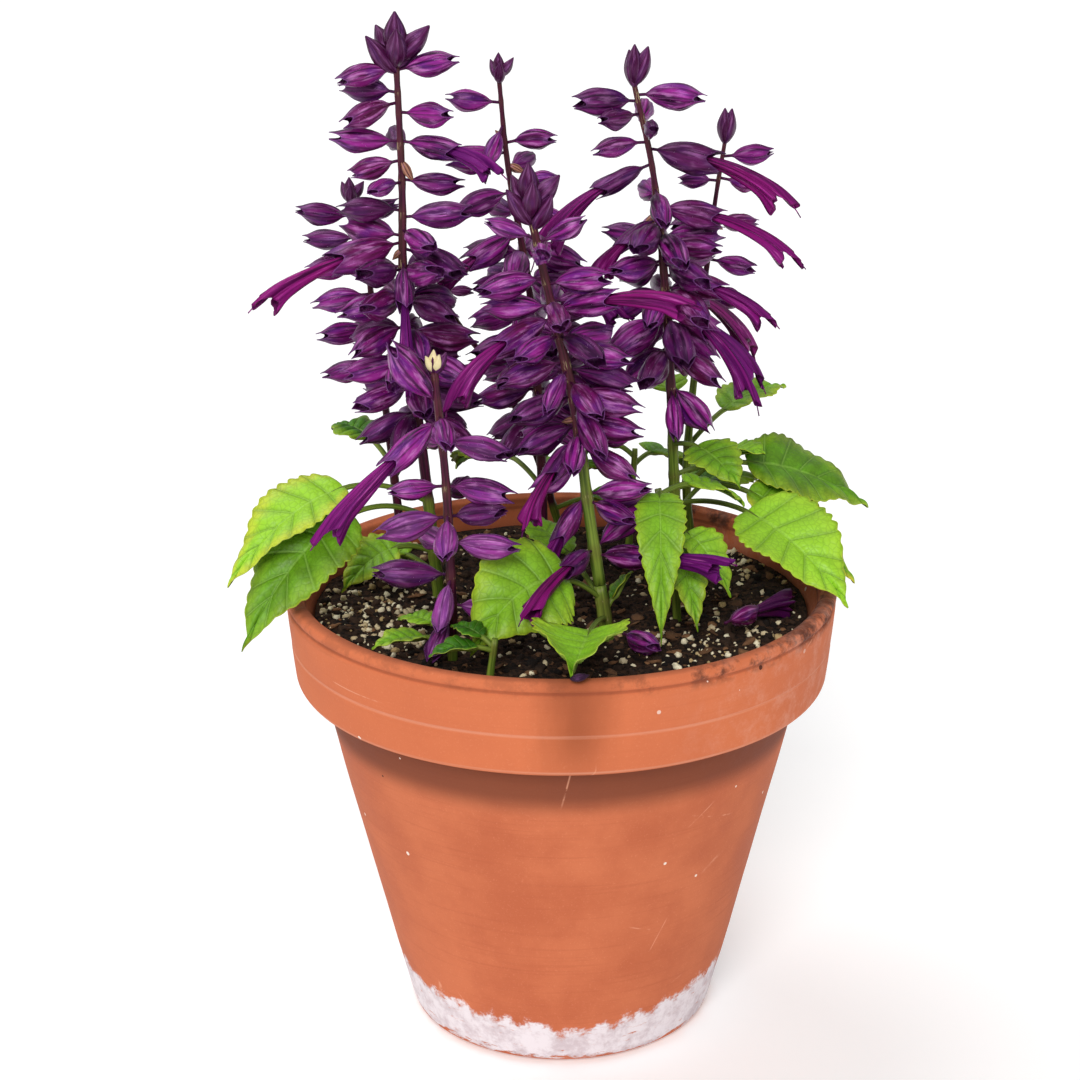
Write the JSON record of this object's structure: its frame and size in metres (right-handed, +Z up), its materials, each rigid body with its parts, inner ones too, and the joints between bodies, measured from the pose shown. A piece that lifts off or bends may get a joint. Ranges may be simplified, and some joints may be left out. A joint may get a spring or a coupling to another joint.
{
  "type": "potted sage",
  "caption": "Round clay pot of soil planted with purple sage: upright spikes of calyces and tube flowers over toothed green leaves, some of which hang over the rim.",
  "frame": {"origin": "middle of the pot's underside, which is the bottom centre of the bounding box", "axes": "+Z up along the pot's axis and the stems, -Y towards the front of the picture, +X to its right"},
  "size_m": [0.2117, 0.1819, 0.336],
  "materials": {
    "clay": "matte unglazed",
    "soil": "crumbly, matte",
    "leaf": "satin",
    "bloom": "satin",
    "fallen": "matte"
  },
  "bodies": {
    "root": {"pot": "clay", "soil": "soil", "tall_left_leafy_stem": "leaf", "middle_back_leafy_stem": "leaf", "front_leafy_stem": "leaf", "short_front_leafy_stem": "leaf", "tall_right_leafy_stem": "leaf", "small_right_leafy_stem": "leaf", "small_left_leafy_stem": "leaf", "leaning_back_leafy_stem": "leaf", "right_shoot": "leaf", "front_shoot": "leaf", "back_shoot": "leaf", "tall_left_flower_spike": "bloom", "middle_back_flower_spike": "bloom", "front_flower_spike": "bloom", "short_front_flower_spike": "bloom", "tall_right_flower_spike": "bloom", "small_right_flower_spike": "bloom", "small_left_flower_spike": "bloom", "leaning_back_flower_spike": "bloom", "fallen_calyx": "fallen", "fallen_flower": "fallen"}
  },
  "joints": []
}
